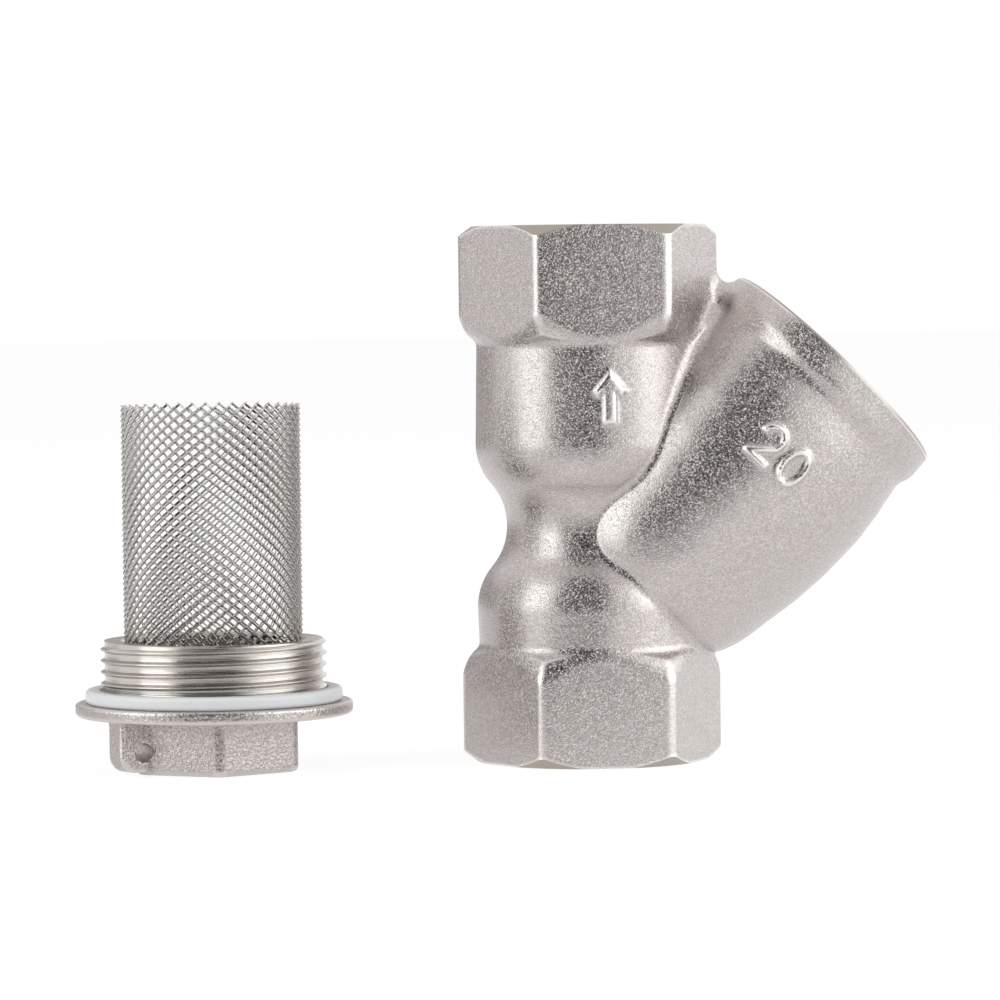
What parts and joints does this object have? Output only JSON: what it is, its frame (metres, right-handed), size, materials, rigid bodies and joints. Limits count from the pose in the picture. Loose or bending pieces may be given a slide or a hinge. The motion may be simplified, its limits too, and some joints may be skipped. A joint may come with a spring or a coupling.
{
  "type": "coarse filter",
  "caption": "Y-shaped coarse strainer for a water line: a forged housing with threaded hexagon ends and an open slanted branch, beside its screwed cap with gasket and mesh screen.",
  "frame": {"origin": "centre of the housing's inlet port face, on which the housing stands", "axes": "+Z along the pipe line from the inlet port to the outlet port; +X towards the slanted branch; the cap stands at -X"},
  "size_m": [0.1147, 0.0405, 0.0715],
  "materials": {
    "blasted_nickel": "nickel-plated over shot-blasted forged brass",
    "white_seal": "smooth white PTFE",
    "steel_mesh": "bright expanded stainless sheet"
  },
  "bodies": {
    "housing": {"housing": "blasted_nickel"},
    "gasket": {"gasket": "white_seal"},
    "cap": {"cap": "blasted_nickel"},
    "screen": {"screen": "steel_mesh"}
  },
  "joints": [
    {"name": "cap_travel", "type": "slide", "parent": "housing", "child": "gasket", "axis": [0, 0, 1], "range_m": [0, 0.006]},
    {"name": "cap_turn", "type": "hinge", "parent": "gasket", "child": "cap", "pos_m": [-0.051, -0.004, 0], "axis": [0, 0, 1], "range_deg": [0, 1440]},
    {"name": "screen_pull", "type": "slide", "parent": "cap", "child": "screen", "axis": [0, 0, 1], "range_m": [0, 0.04]}
  ],
  "couplings": [
    {"joint": "cap_travel", "follows": "cap_turn", "m_per_rad": 0.0002387}
  ]
}
